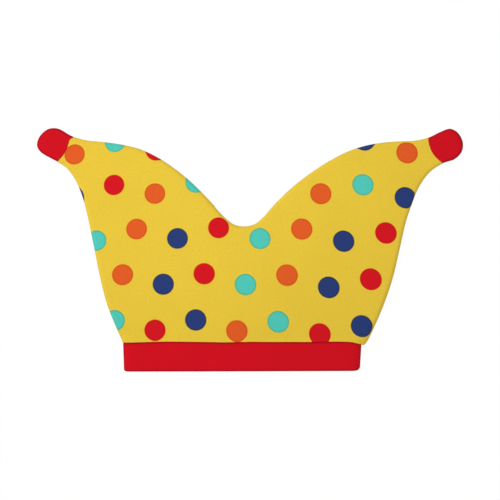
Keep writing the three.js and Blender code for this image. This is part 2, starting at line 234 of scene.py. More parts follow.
# The seams of the caps bow towards the crown, and the left one's top end turns that way too
CAP_SEAM_ROW = 4
LEFT_CAP_BOW = 3.4 * MM
RIGHT_CAP_BOW = 4.2 * MM
CAP_BOW_ROWS = 1.5  # rows over which the bow dies away
CAP_KINK_ROWS = 0.55  # rows by which that end turns
CAP_KINK_SHARE = 0.10  # share of the seam over which it does

STEADY = math.inf  # for a wave that doesn't change that way
CLOTH_WAVES = (
    Wave(23 * MM, STEADY, 0.0, 1.3, STEADY, 31 * MM, 0.7),
    Wave(-47 * MM, 19 * MM, 2.1, 0.0, STEADY, STEADY, 0.0),
    Wave(37 * MM, 37 * MM, 0.0, 1.1, 53 * MM, STEADY, 0.0),
)
BAND_WAVE = Wave(14 * MM, STEADY, 0.0, 0.9, 29 * MM, STEADY, 0.0)
BAND_WAVE_DEPTH = 0.25 * MM


class DotRow(NamedTuple):
    """One printed row of dots. Its colours repeat in this order, going right."""

    height: float  # above the band's seam
    start: float  # place of a dot in the first colour
    lower_first: bool  # whether that dot sits low in the zigzag
    size: float  # how wide its dots are, as a share of the dots' diameter
    colours: tuple


DOT_ROWS = (
    DotRow(210.3 * MM, -186.3 * MM, True, 0.985, ("orange", "teal", "red", "blue")),
    DotRow(163.9 * MM, -187.7 * MM, True, 0.99, ("blue", "red", "orange", "teal")),
    DotRow(115.4 * MM, -163.8 * MM, True, 1.0, ("teal", "orange", "blue", "red")),
    DotRow(66.6 * MM, -135.5 * MM, False, 1.02, ("orange", "blue", "red", "teal")),
    DotRow(17.4 * MM, -144.6 * MM, False, 1.025, ("teal", "red", "blue", "orange")),
)

DOT_COLOURS = 4
DOT_RIM_WIDTH = 2.2 * MM

# How the print has drifted off a straight lattice, at DRIFT_REACH from the hat's middle
DRIFT_REACH = 200 * MM
DRIFT_ACROSS_TWIST = -1.70 * MM
DRIFT_ACROSS_STRETCH = -3.05 * MM
DRIFT_UP_TILT = 6.08 * MM
DRIFT_UP_TWIST = -6.43 * MM
DRIFT_UP_BEND = 6.89 * MM


def length(name, description, default, smallest=0.0):
    """A property for a length in metres."""
    return bpy.props.FloatProperty(
        name=name,
        description=description,
        default=default,
        min=smallest,
        unit="LENGTH",
        subtype="DISTANCE",
        precision=4,
    )


def share(name, description, default):
    """A property from 0 to 1."""
    return bpy.props.FloatProperty(
        name=name, description=description, default=default, min=0.0, max=1.0, subtype="FACTOR"
    )


def colour(name, description, red, green, blue):
    """A colour property whose default is given as screen values from 0 to 255."""
    linear = tuple(screen_to_linear(value / 255) for value in (red, green, blue))
    return bpy.props.FloatVectorProperty(
        name=name, description=description, default=linear, min=0.0, max=1.0, subtype="COLOR"
    )


def screen_to_linear(value):
    """Linear light from a screen value of 0 to 1, by the usual curve for screens."""
    if value <= 0.04045:
        return value / 12.92
    return ((value + 0.055) / 1.055) ** 2.4


class HatSizes(bpy.types.PropertyGroup):
    """Sizes of the hat as it lies flat."""

    hat_width: length("Hat Width", "From the end of one cap to the other", 450 * MM)
    horn_height: length("Horn Height", "From the band's seam to the top of the caps", 226.6 * MM)
    dip_height: length("Dip Height", "From the band's seam to the dip", 122.5 * MM)
    dip_shift: length("Dip Shift", "Place of the dip from the hat's middle", -6.5 * MM, -1.0)
    band_width: length("Band Width", "Along the band's seam, laid flat", 252 * MM)
    band_height: length("Band Height", "From the band's seam to the rim", 31 * MM)
    seam_level: length("Seam Level", "Height of the side seams above the table", 6.5 * MM)
    body_level: length("Horn Level", "Height of the front at the horns", 12.5 * MM)
    band_level: length("Band Level", "Height of the front at the band", 12 * MM)
    dome_rise: length("Dome Rise", "What the crown's middle adds", 8.5 * MM)
    fabric_wall: length("Jersey Thickness", "Wall of the panels and caps", 2 * MM)
    band_wall: length("Band Thickness", "Wall of the folded band", 3 * MM)
    pucker: length("Pucker Depth", "Depth of the small waves beside each seam", 0.12 * MM)
    unevenness: length("Unevenness", "Depth of the broad soft waves in the cloth", 0.5 * MM)


class HatPrint(bpy.types.PropertyGroup):
    """The dotted print and the colours of the cloth."""

    dot_diameter: length("Dot Diameter", "Width of one printed dot", 22.3 * MM)
    dot_pitch: length("Dot Pitch", "From one dot to the next in a row", 43.58 * MM)
    zigzag: length("Zigzag", "How far dots sit above or below their row", 5.48 * MM)
    ground: colour("Ground", "Yellow between the dots", 229, 195, 60)
    red: colour("Red Dots", "Red print", 209, 20, 32)
    orange: colour("Orange Dots", "Orange print", 222, 91, 37)
    blue: colour("Blue Dots", "Blue print", 40, 59, 116)
    teal: colour("Teal Dots", "Teal print", 79, 197, 181)
    band: colour("Band Red", "Red of the band", 208, 15, 30)
    caps: colour("Cap Red", "Red of the caps", 206, 16, 31)
    reverse: colour("Reverse", "Unprinted inner side of the jersey", 236, 222, 176)
    show_through: share("Show Through", "How much of the print shows on the inner side", 0.18)
    dot_overlap: share("Dot Overlap", "How far ink and yellow darken each other at a dot's edge", 0.6)


class HatStage(bpy.types.PropertyGroup):
    """The floor, the lights and the camera."""

    camera_height: length("Camera Height", "Straight above the hat", 6.0)
    camera_x: length("Camera X", "Place of the camera across the hat", 0.0, -1.0)
    camera_y: length("Camera Y", "Place of the camera along the hat", -0.15 * MM, -1.0)
    view_width: length("View Width", "Width of the picture at the hat", 528.55 * MM)
    view_level: length("View Level", "Height above the table where that width holds", 6.5 * MM)
    floor: colour("Floor", "Colour of the floor", 240, 240, 240)
    floor_shade: share("Floor Shade", "How much of the light and shade on the floor is seen", 0.04)
    floor_glow: share("Floor Glow", "White added to the floor where the camera sees it", 0.97)
    key_power: bpy.props.FloatProperty(
        name="Key Light", description="Power of the large soft light", default=1.22, unit="POWER"
    )
    key_size: length("Key Size", "Width of the large soft light", 0.8)
    key_spread: bpy.props.FloatProperty(
        name="Key Spread",
        description="Angle that the light fills",
        default=math.radians(42.5),
        subtype="ANGLE",
    )
    sky_strength: bpy.props.FloatProperty(
        name="Sky Strength", description="Strength of the even light", default=0.615, min=0.0
    )


def smooth(value):
    """Eases a share from 0 to 1, level at both ends."""
    value = np.clip(value, 0, 1)
    return value * value * (3 - 2 * value)


def rolled(distance, width):
    """A quarter of an ellipse, upright at 0 and level at width, where it reaches 1."""
    return np.sqrt(1 - (1 - np.clip(distance / width, 0, 1)) ** 2)


def rolled_slope(distance, width):
    """How steeply that quarter rises, for a height equal to its width."""
    left = 1 - np.clip(distance / width, 0, 1)
    return left / np.sqrt(np.maximum(1 - left**2, TINY))


def smooth_curve(knots, places):
    """Points on the centripetal curve through the knots, at places counted in knots."""
    ends = np.vstack([2 * knots[:1] - knots[1:2], knots, 2 * knots[-1:] - knots[-2:-1]])
    row = np.clip(np.floor(places).astype(int), 0, len(knots) - 2)
    part = (places - row)[..., None]
    before, start, end, after = (ends[row + k] for k in range(4))

    def spacing(a, b):
        return np.sqrt(np.linalg.norm(b - a, axis=-1, keepdims=True))

    gap_in, gap, gap_out = spacing(before, start), spacing(start, end), spacing(end, after)
    leave = (start - before) / gap_in - (end - before) / (gap_in + gap) + (end - start) / gap
    arrive = (end - start) / gap - (after - start) / (gap + gap_out) + (after - end) / gap_out
    leave, arrive = leave * gap, arrive * gap
    square = 3 * (end - start) - 2 * leave - arrive
    cube = 2 * (start - end) + leave + arrive
    return start + part * (leave + part * (square + part * cube))


class Pattern:
    """The hat's flat outline and its cross sections, numbered from cap end to cap end."""

    def __init__(self, sizes):
        self.sizes = sizes
        band_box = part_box("band")
        self.seam_y = band_box[1][1] + SEAM_GAP
        self.band_left = band_box[0][0]
        self.band_right = self.band_left + sizes.band_width
        self.band_middle = (self.band_left + self.band_right) / 2
        self.left_corner = len(LEFT_HORN) - 1
        self.right_corner = self.left_corner + len(LEFT_CROWN) + len(RIGHT_CROWN) + 2
        self.last = self.right_corner + len(RIGHT_HORN) - 1
        self.left_seam = CAP_SEAM_ROW
        self.right_seam = self.last - CAP_SEAM_ROW
        self.knots = self.outline_knots()
        self.seam_starts = self.crown_starts()
        count = (len(self.knots) - 1) * OUTLINE_STEPS + 1
        self.path = self.outline(np.linspace(0, len(self.knots) - 1, count))

    def side_point(self, side, row):
        band_end = self.band_left if side < 0 else self.band_right
        hat_end = side * self.sizes.hat_width / 2
        return (band_end + (hat_end - band_end) * row.flare, row.rise * self.sizes.horn_height)

    def top_point(self, side, row):
        sizes = self.sizes
        x = sizes.dip_shift + (side * sizes.hat_width / 2 - sizes.dip_shift) * row.reach
        return (x, sizes.dip_height + (sizes.horn_height - sizes.dip_height) * row.lift)

    def outline_knots(self):
        sizes = self.sizes
        knots = [self.side_point(-1, row) for row in reversed(LEFT_HORN[1:])]
        knots += [self.top_point(-1, row) for row in LEFT_HORN + LEFT_CROWN]
        knots += [(sizes.dip_shift, sizes.dip_height)]
        knots += [self.top_point(1, row) for row in reversed(RIGHT_HORN + RIGHT_CROWN)]
        knots += [self.side_point(1, row) for row in RIGHT_HORN[1:]]
        return np.array(knots)

    def crown_starts(self):
        half = self.sizes.band_width / 2
        left = [self.band_left + half * row.along for row in LEFT_CROWN]
        right = [self.band_right - half * row.along for row in reversed(RIGHT_CROWN)]
        return np.array([self.band_left, *left, self.band_middle, *right, self.band_right])

    def outline(self, places):
        return smooth_curve(self.knots, np.clip(places, 0, len(self.knots) - 1))

    def seam_line(self, x):
        """How far the seam between band and crown lies above its straight line."""
        width = self.band_right - self.band_left
        line = np.full_like(x, SEAM_RISE)
        for drop in SEAM_DROPS:
            offset = (x - self.band_left - drop.at * width) / drop.width
            line -= drop.depth * np.exp(-(offset**2))
        return line

    def lower(self, section):
        """The lower end of a cross section: on the hat's side, or on the band's seam."""
        left = self.outline(self.left_corner - section)
        right = self.outline(self.left_corner + 2 * self.last - section)
        rows = np.arange(self.left_corner, self.right_corner + 1)
        x = np.interp(section, rows, self.seam_starts)
        seam = np.stack([x, self.seam_line(x)], axis=-1)
        on_left = (section <= self.left_corner)[..., None]
        on_right = (section >= self.right_corner)[..., None]
        return np.where(on_left, left, np.where(on_right, right, seam))

    def upper(self, section):
        return self.outline(self.left_corner + section)

    def puff(self, section):
        left = [row.puff for row in LEFT_HORN]
        right = [row.puff for row in reversed(RIGHT_HORN)]
        places = [*range(len(left)), *range(self.right_corner, self.last + 1)]
        return np.interp(section, places, left + right)

    def sections(self):
        """Places of the cross sections, close enough together everywhere."""
        places = [0.0]
        for row in range(self.last):
            pair = np.array([row, row + 1.0])
            ends = (self.lower(pair), self.upper(pair))
            widest = max(np.linalg.norm(np.diff(points, axis=0)) for points in ends)
            count = max(FEWEST_STEPS, math.ceil(widest / CLOTH_STEP))
            places += [row + (step + 1) / count for step in range(count)]
        return np.array(places)

    def cap_direction(self, side):
        """The flat way from the middle of a cap's seam to its tip."""
        end, seam = (0, self.left_seam) if side < 0 else (self.last, self.right_seam)
        middle = (self.lower(np.array(float(seam))) + self.upper(np.array(float(seam)))) / 2
        along = self.upper(np.array(float(end))) - middle
        return along / np.linalg.norm(along)

    def shares(self, spans):
        """Places along each cross section, crowded where its two ends roll over."""
        roll = np.minimum(WIDEST_ROLL / np.maximum(spans, MM), ROLL_SHARE)[:, None]
        angle = (np.arange(ROLL_STEPS) / ROLL_STEPS) ** ROLL_CROWDING * (math.pi / 2)
        rise = roll * (1 - np.cos(angle))
        flat = roll + (1 - 2 * roll) * np.linspace(0, 1, FLAT_STEPS + 1)
        return np.hstack([rise, flat, 1 - rise[:, ::-1]])

    def plan(self):
        """Flat points of all the cross sections, with their section numbers."""
        section = self.sections()
        spans = np.linalg.norm(self.upper(section) - self.lower(section), axis=-1)
        part = self.shares(spans)
        place = np.repeat(section[:, None], part.shape[1], axis=1)
        kink = np.exp(-(((place - self.left_seam) / CAP_BOW_ROWS) ** 2))
        place = place + CAP_KINK_ROWS * kink * np.exp(-(((1 - part) / CAP_KINK_SHARE) ** 2))
        low, high = self.lower(place), self.upper(place)
        points = low + (high - low) * part[..., None]
        for side, seam, depth in (
            (-1, self.left_seam, LEFT_CAP_BOW),
            (1, self.right_seam, RIGHT_CAP_BOW),
        ):
            fade = depth * np.exp(-(((place - seam) / CAP_BOW_ROWS) ** 2)) * 4 * part * (1 - part)
            points = points - fade[..., None] * self.cap_direction(side)
        return section, points

    def edge_distance(self, points):
        """Distance to the side and top seams, the way inward, and the place along them."""
        start, step = self.path[:-1], np.diff(self.path, axis=0)
        squared = (step**2).sum(axis=-1)
        lengths = np.sqrt(squared)
        run = np.concatenate([[0], np.cumsum(lengths)[:-1]])
        flat = points.reshape(-1, 2)
        distance, place, piece = (np.empty(len(flat)) for _ in range(3))
        for first in range(0, len(flat), POINTS_AT_ONCE):
            block = slice(first, first + POINTS_AT_ONCE)
            offset = flat[block, None] - start
            along = np.clip((offset * step).sum(axis=-1) / squared, 0, 1)
            gap = np.linalg.norm(offset - along[..., None] * step, axis=-1)
            nearest = gap.argmin(axis=1)
            rows = np.arange(len(nearest))
            distance[block] = gap[rows, nearest]
            place[block] = run[nearest] + along[rows, nearest] * lengths[nearest]
            piece[block] = nearest
        tangent = (step / lengths[:, None])[piece.astype(int)]
        inward = np.stack([tangent[:, 1], -tangent[:, 0]], axis=-1)
        for side, end in ((-1, 0), (1, self.last)):
            tip = self.upper(np.array(float(end)))
            near = np.exp(-((np.linalg.norm(flat - tip, axis=-1) / TIP_REACH) ** 2))[:, None]
            inward = inward * (1 - near) - self.cap_direction(side) * near
        inward = inward / np.linalg.norm(inward, axis=-1, keepdims=True)
        shape = points.shape[:-1]
        return distance.reshape(shape), inward.reshape(points.shape), place.reshape(shape)


class Sheet(NamedTuple):
    """The outer face of the front or back cloth as a grid of points, and its print."""

    smooth: np.ndarray  # without the groove along the seams
    face: np.ndarray
    slope: np.ndarray  # how steeply it falls towards the nearest seam
    print_at: np.ndarray  # place of each point in the print
    upward: bool


class Cloth(NamedTuple):
    """Both sheets, cut along the same cross sections."""

    section: np.ndarray
    outward: np.ndarray  # flat directions towards the nearest seam
    seam_distance: np.ndarray
    front: Sheet
    back: Sheet


def dome(pattern, x, y):
    """What the crown's soft middle adds to the height."""
    across = (x - pattern.band_middle) / DOME_ACROSS
    return pattern.sizes.dome_rise * np.exp(-(across**2) - ((y - DOME_CENTRE) / DOME_ALONG) ** 2)


def ripple(wave, x, y):
    """One wave's height from -1 to 1."""
    sway = np.sin(x / wave.sway_across + y / wave.sway_along + wave.sway_phase)
    return np.sin(x / wave.across + y / wave.along + wave.phase + wave.sway * sway)


def soft_waves(x, y):
    """Broad unevenness from -1 to 1, different in every part of the hat."""
    return sum(ripple(wave, x, y) for wave in CLOTH_WAVES) / len(CLOTH_WAVES)


def seam_waves(place):
    """Uneven puckers from -1 to 1 along a seam."""
    jitter = np.sin(place / PUCKER_JITTER_LENGTH + PUCKER_JITTER_PHASE)
    sway = np.sin(place / PUCKER_SWAY_LENGTH) + PUCKER_JITTER * jitter
    strength = 1 - PUCKER_FADE + PUCKER_FADE * np.sin(place / PUCKER_FADE_LENGTH)
    return np.sin(place / PUCKER_LENGTH + PUCKER_SWAY * sway) * strength


def turned_length(distance, width, height):
    """How much longer than flat the cloth is where it rolls over, from its edge inward."""
    steps = np.linspace(0, 1, ARC_POINTS)
    across = np.diff(steps) * width
    climb = np.diff(rolled(steps, 1.0)) * height
    extra = np.concatenate([[0], np.cumsum(np.hypot(across, climb) - across)])
    return np.interp(distance / width, steps, extra[-1] - extra)


def make_cloth(pattern):
    """Both sheets, puffed up, rolled over at their edges and drawn in along the seams."""
    sizes = pattern.sizes
    section, points = pattern.plan()
    distance, inward, place = pattern.edge_distance(points)
    in_crown = (section >= pattern.left_corner) & (section <= pattern.right_corner)
    in_panel = (section > pattern.left_seam) & (section < pattern.right_seam)
    distance[:, -1] = 0
    distance[~in_crown, 0] = 0
    x, y = points[..., 0], points[..., 1]
    above_band = np.maximum(y - pattern.seam_line(x), 0)

    full = (sizes.body_level - sizes.seam_level) * pattern.puff(section)[:, None]
    low = sizes.band_level - sizes.seam_level
    gathered = smooth(above_band / GATHER_LENGTH)
    band_roll = np.where(x < pattern.band_middle, BAND_LEFT.roll, BAND_RIGHT.roll)
    roll = band_roll + (HORN_ROLL - band_roll) * gathered
    rise = low + (full - low) * gathered + dome(pattern, x, y)
    rise = rise + sizes.unevenness * soft_waves(x, y) * gathered
    puckers = seam_waves(place) * np.exp(-distance / PUCKER_REACH)
    puckers = puckers + seam_waves(x) * np.exp(-above_band / PUCKER_REACH)
    turned = in_crown[:, None] * (1 - rolled(above_band, BAND_SEAM_ROUND)) * BAND_SEAM_DROP
    lift = rolled(distance, roll)
    front_z = sizes.seam_level + SEAM_GAP / 2
    front_z = front_z + (rise + sizes.pucker * puckers - turned) * lift
    back_z = (sizes.seam_level - SEAM_GAP / 2) * (1 - rolled(distance, BACK_ROLL))

    def sheet(z, roll_width, roll_height, upward):
        depth = TUCK_DEPTH * np.exp(-(((z - sizes.seam_level) / TUCK_HEIGHT) ** 2))
        depth = depth - EDGE_PROUD * np.exp(-distance / EDGE_REACH) * in_panel[:, None]
        drawn = points + inward * depth[..., None]
        drawn[..., 1] -= in_crown[:, None] * SEAM_OVERHANG * np.exp(-above_band / EDGE_REACH)
        extra = turned_length(distance, HORN_ROLL if upward else BACK_ROLL, sizes.seam_level)
        print_at = drifted(points - inward * extra[..., None], mirrored=not upward)
        smooth_face, face = (
            np.dstack([flat[..., 0], flat[..., 1] + pattern.seam_y, z]) for flat in (points, drawn)
        )
        slope = rolled_slope(distance, roll_width) * roll_height / roll_width
        return Sheet(smooth_face, face, slope, print_at, upward)

    front = sheet(front_z, roll, rise, upward=True)
    back = sheet(back_z, BACK_ROLL, sizes.seam_level, upward=False)
    # Each point's distance to the nearest seam, beside which the materials paint shade and highlight
    return Cloth(section, -inward, np.minimum(distance, above_band), front, back)


def inner_face(pattern, cloth, sheet):
    """The sheet's face moved inwards by the wall. At the seams the wall's end lies level."""
    upright = np.full(sheet.slope.shape, 1.0 if sheet.upward else -1.0)
    normal = np.dstack([cloth.outward * sheet.slope[..., None], upright])
    normal = normal / np.linalg.norm(normal, axis=-1, keepdims=True)
    return sheet.smooth - normal * pattern.sizes.fabric_wall


def cloth_object(name, outer, inner, cloth_print, seam_distance, upward, materials):
    """A closed wall of cloth between two grids of points. The inner side takes material 1."""
    rows, columns = outer.shape[:2]
    number = np.arange(rows * columns).reshape(rows, columns)
    under = number + rows * columns

    def strip(a, b, c, d):
        return np.stack([a.ravel(), b.ravel(), c.ravel(), d.ravel()], axis=-1)

    quads = [
        strip(number[:-1, :-1], number[1:, :-1], number[1:, 1:], number[:-1, 1:]),
        strip(under[:-1, :-1], under[:-1, 1:], under[1:, 1:], under[1:, :-1]),
        strip(number[1:, 0], number[:-1, 0], under[:-1, 0], under[1:, 0]),
        strip(number[:-1, -1], number[1:, -1], under[1:, -1], under[:-1, -1]),
        strip(number[0, :-1], number[0, 1:], under[0, 1:], under[0, :-1]),
        strip(number[-1, 1:], number[-1, :-1], under[-1, :-1], under[-1, 1:]),
    ]
    inside = np.concatenate([np.full(len(part), index == 1) for index, part in enumerate(quads)])
    faces = np.concatenate(quads)
    if not upward:
        faces = faces[:, ::-1]
    points = np.concatenate([outer.reshape(-1, 3), inner.reshape(-1, 3)])

    mesh = new_mesh(name, points, faces, materials)
    mesh.polygons.foreach_set("material_index", inside.astype(np.int32))
    lay_out(mesh, np.tile(cloth_print.reshape(-1, 2), (2, 1)), np.tile(seam_distance.ravel(), 2))
    weld_and_shade(mesh)
    return place_in_scene(name, mesh)


def new_mesh(name, points, faces, materials):
    mesh = bpy.data.meshes.new(name)
    mesh.from_pydata(points.tolist(), [], faces.tolist())
    for material in materials:
        mesh.materials.append(material)
    return mesh


def lay_out(mesh, cloth_places, seam_distance):
    """Notes each point's place in the flat cloth and its distance to the nearest seam."""
    layer = mesh.uv_layers.new(name="cloth")
    corner = np.empty(len(mesh.loops), dtype=np.int32)
    mesh.loops.foreach_get("vertex_index", corner)
    layer.uv.foreach_set("vector", cloth_places[corner].astype(np.float32).ravel())
    attribute = mesh.attributes.new("seam_distance", "FLOAT", "POINT")
    attribute.data.foreach_set("value", seam_distance.astype(np.float32))


def place_in_scene(name, data):
    placed = bpy.data.objects.new(name, data)
    bpy.context.scene.collection.objects.link(placed)
    return placed


def weld_and_shade(mesh):
    """Joins points that coincide, as where the cloth runs to a tip, and shades the mesh."""
    form = bmesh.new()
    form.from_mesh(mesh)
    bmesh.ops.remove_doubles(form, verts=form.verts, dist=WELD_GAP)
    bmesh.ops.dissolve_degenerate(form, edges=form.edges, dist=WELD_GAP)
    form.to_mesh(mesh)
    form.free()
    shade(mesh)


def shade(mesh):
    """Shades a mesh smoothly, except over real edges."""
    mesh.shade_smooth()
    mesh.set_sharp_from_angle(angle=SHARP_ANGLE)


def make_piece(pattern, cloth, sheet, name, first, last, materials):
    """One sheet's cloth from one cross section to another."""
    inner = inner_face(pattern, cloth, sheet)
    rows = (cloth.section > first - TINY) & (cloth.section < last + TINY)
    grids = (sheet.face[rows], inner[rows], sheet.print_at[rows], cloth.seam_distance[rows])
    return cloth_object(name, *grids, sheet.upward, materials)


def drifted(points, mirrored):
    """Where points of the cloth lie in the straight lattice of the print."""
    x, y = points[..., 0] / DRIFT_REACH, points[..., 1] / DRIFT_REACH
    across = points[..., 0] + DRIFT_ACROSS_TWIST * x * y + DRIFT_ACROSS_STRETCH * x * x
    up = points[..., 1] + DRIFT_UP_TILT * x + DRIFT_UP_TWIST * x * y + DRIFT_UP_BEND * x * x
    return np.stack([-across if mirrored else across, up], axis=-1)


def declare(piece, slot, *nodes):
    """Says which body a piece rides on and which solids it shows. The slot, what it is made of, is not
    used.
    """
    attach(piece, "root")
    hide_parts(*nodes)


class NodeTree:
    """Adds nodes to a material or a node group and links them."""

    def __init__(self, tree):
        self.tree = tree

    def link(self, value, socket):
        self.tree.links.new(value, socket)

    def give(self, socket, value):
        """Links another node's output to a socket, or sets the socket's own value."""
        if isinstance(value, bpy.types.NodeSocket):
            self.link(value, socket)
        else:
            socket.default_value = value

    def add(self, kind, inputs=(), **settings):
        node = self.tree.nodes.new(kind)
        for name, value in settings.items():
            setattr(node, name, value)
        for name, value in dict(inputs).items():
            self.give(node.inputs[name], value)
        return node

    def shared(self, name, inputs):
        """Places a shared node group and returns its outputs."""
        return self.add("ShaderNodeGroup", inputs, node_tree=group_named(name)).outputs

    def math(self, operation, *values):
        return self.add("ShaderNodeMath", dict(enumerate(values)), operation=operation).outputs[0]

    def noise(self, place, scale, detail):
        inputs = {"Vector": place, "Scale": scale, "Detail": detail}
        return self.add("ShaderNodeTexNoise", inputs).outputs["Fac"]

    def blend(self, factor, first, second, mode="MIX"):
        node = self.add("ShaderNodeMix", data_type="RGBA", blend_type=mode)
        given = {"Factor_Float": factor, "A_Color": first, "B_Color": second}
        for socket in node.inputs:
            if socket.identifier in given:
                self.give(socket, given[socket.identifier])
        return next(socket for socket in node.outputs if socket.identifier == "Result_Color")

    def ramp(self, value, low, high, bottom=0.0, top=1.0):
        node = self.add(
            "ShaderNodeMapRange",
            {"Value": value, "From Min": low, "From Max": high, "To Min": bottom, "To Max": top},
            interpolation_type="SMOOTHSTEP",
        )
        return node.outputs["Result"]


def new_group(name, inputs, outputs):
    """A node group with its input and output sockets, ready to be filled."""
    group = bpy.data.node_groups.new(name, "ShaderNodeTree")
    for label, kind, default in inputs:
        socket = group.interface.new_socket(label, in_out="INPUT", socket_type=kind)
        if default is not None:
            socket.default_value = default
    for label, kind in outputs:
        group.interface.new_socket(label, in_out="OUTPUT", socket_type=kind)
    tree = NodeTree(group)
    return group, tree, tree.add("NodeGroupInput").outputs, tree.add("NodeGroupOutput").inputs


FLOAT = "NodeSocketFloat"
COLOUR = "NodeSocketColor"
VECTOR = "NodeSocketVector"
WHITE = (1.0, 1.0, 1.0, 1.0)
KNIT_DEPTH = 0.12 * MM
KNIT_STRENGTH = 0.5


def dot_row_group():
    """One printed row: round dots in four colours that take turns."""
    colours = [(f"Colour {number + 1}", COLOUR, WHITE) for number in range(DOT_COLOURS)]
    group, tree, given, result = new_group(
        "Dot Row",
        [
            ("Cloth", VECTOR, None),
            ("Height", FLOAT, 0.0),
            ("Start", FLOAT, 0.0),
            ("Pitch", FLOAT, 40 * MM),
            ("Zigzag", FLOAT, 0.0),
            ("Radius", FLOAT, 10 * MM),
            ("Soft Edge", FLOAT, 0.5 * MM),
            ("Ground", COLOUR, WHITE),
            ("Overlap", FLOAT, 0.0),
            *colours,
        ],
        [("Colour", COLOUR), ("Mask", FLOAT)],
    )
    place = tree.add("ShaderNodeSeparateXYZ", {0: given["Cloth"]}).outputs
    counted = tree.math("DIVIDE", tree.math("SUBTRACT", place["X"], given["Start"]), given["Pitch"])
    number = tree.math("ROUND", counted)
    across = tree.math("MULTIPLY", tree.math("SUBTRACT", counted, number), given["Pitch"])
    # The swing is down for even numbers and up for odd ones
    odd = tree.math("PINGPONG", number, 1.0)
    direction = tree.math("SUBTRACT", tree.math("MULTIPLY", odd, 2.0), 1.0)
    swing = tree.math("MULTIPLY", direction, given["Zigzag"])
    up = tree.math("SUBTRACT", tree.math("SUBTRACT", place["Y"], given["Height"]), swing)
    offset = tree.add("ShaderNodeCombineXYZ", {"X": across, "Y": up}).outputs[0]
    distance = tree.add("ShaderNodeVectorMath", {0: offset}, operation="LENGTH").outputs["Value"]
    outer = tree.math("ADD", given["Radius"], given["Soft Edge"])
    inner = tree.math("SUBTRACT", given["Radius"], given["Soft Edge"])
    tree.link(tree.ramp(distance, outer, inner), result["Mask"])
    turn = tree.math("FLOORED_MODULO", number, float(DOT_COLOURS))
    ink = given["Colour 1"]
    for step in range(1, DOT_COLOURS):
        reached = tree.math("GREATER_THAN", turn, step - 0.5)
        ink = tree.blend(reached, ink, given[f"Colour {step + 1}"])
    rim = tree.ramp(distance, tree.math("SUBTRACT", given["Radius"], DOT_RIM_WIDTH), given["Radius"])
    overlap = tree.math("MULTIPLY", rim, given["Overlap"])
    tree.link(tree.blend(overlap, ink, given["Ground"], "MULTIPLY"), result["Colour"])
    return group


# Stitches are counted in columns and rows, and noise in features for each metre
KNIT_WANDER = 0.35  # columns by which a column strays
KNIT_WANDER_SCALE = 260.0
KNIT_WANDER_DETAIL = 2.0
LEG_CLIMB = 1.3  # rows that a leg of the V would climb over a whole column
LOOP_RELIEF = 0.3  # share of a stitch's height that comes and goes along its leg
FIBRE_RELIEF = 0.35  # height of the fuzz, as a share of a stitch's
FIBRE_SCALE = 3200.0
FIBRE_DETAIL = 2.0
# The darker gaps between stitches are painted shade, and the brighter loops a painted highlight
BETWEEN_STITCHES = 0.95  # brightness there
ON_STITCHES = 1.02


def knit_group():
    """Jersey stitches: columns of small V shapes, as a height and as a faint painted shade."""
    group, tree, given, result = new_group(
        "Jersey Knit",
        [("Cloth", VECTOR, None), ("Column Width", FLOAT, 0.9 * MM), ("Row Height", FLOAT, 0.7 * MM)],
        [("Height", FLOAT), ("Shade", FLOAT)],
    )
    place = tree.add("ShaderNodeSeparateXYZ", {0: given["Cloth"]}).outputs
    wander = tree.noise(given["Cloth"], KNIT_WANDER_SCALE, KNIT_WANDER_DETAIL)
    column = tree.math("DIVIDE", place["X"], given["Column Width"])
    column = tree.math("ADD", column, tree.math("MULTIPLY", wander, KNIT_WANDER))
    leg = tree.math("PINGPONG", column, 0.5)
    hump = tree.math("SINE", tree.math("MULTIPLY", leg, 2 * math.pi))
    row = tree.math("DIVIDE", place["Y"], given["Row Height"])
    slanted = tree.math("ADD", row, tree.math("MULTIPLY", leg, LEG_CLIMB))
    loop = tree.math("COSINE", tree.math("MULTIPLY", slanted, 2 * math.pi))
    stitch = tree.math("MULTIPLY", hump, tree.math("MULTIPLY_ADD", loop, LOOP_RELIEF, 1 - LOOP_RELIEF))
    fibre = tree.noise(given["Cloth"], FIBRE_SCALE, FIBRE_DETAIL)
    height = tree.math("ADD", stitch, tree.math("MULTIPLY", fibre, FIBRE_RELIEF))
    tree.link(height, result["Height"])
    tree.link(tree.ramp(stitch, 0.0, 1.0, BETWEEN_STITCHES, ON_STITCHES), result["Shade"])
    return group


# How the dye and the finish vary, with noise in features for each metre, and where painted shade and
# highlight lie beside the seams
BROAD_SCALE = 28.0
BROAD_DETAIL = 3.0
FINE_SCALE = 420.0
FINE_DETAIL = 4.0
FINE_SHARE = 0.7  # of the mottling that is fine
PAINTED_LIGHT_REACH = 3.0 * MM  # from a seam, how far it is darker or paler
DARKEST_AT = 0.2 * MM
PALEST_AT = 0.8 * MM
LEAST_ROUGHNESS = 0.8
ROUGHNESS_SPREAD = 0.12


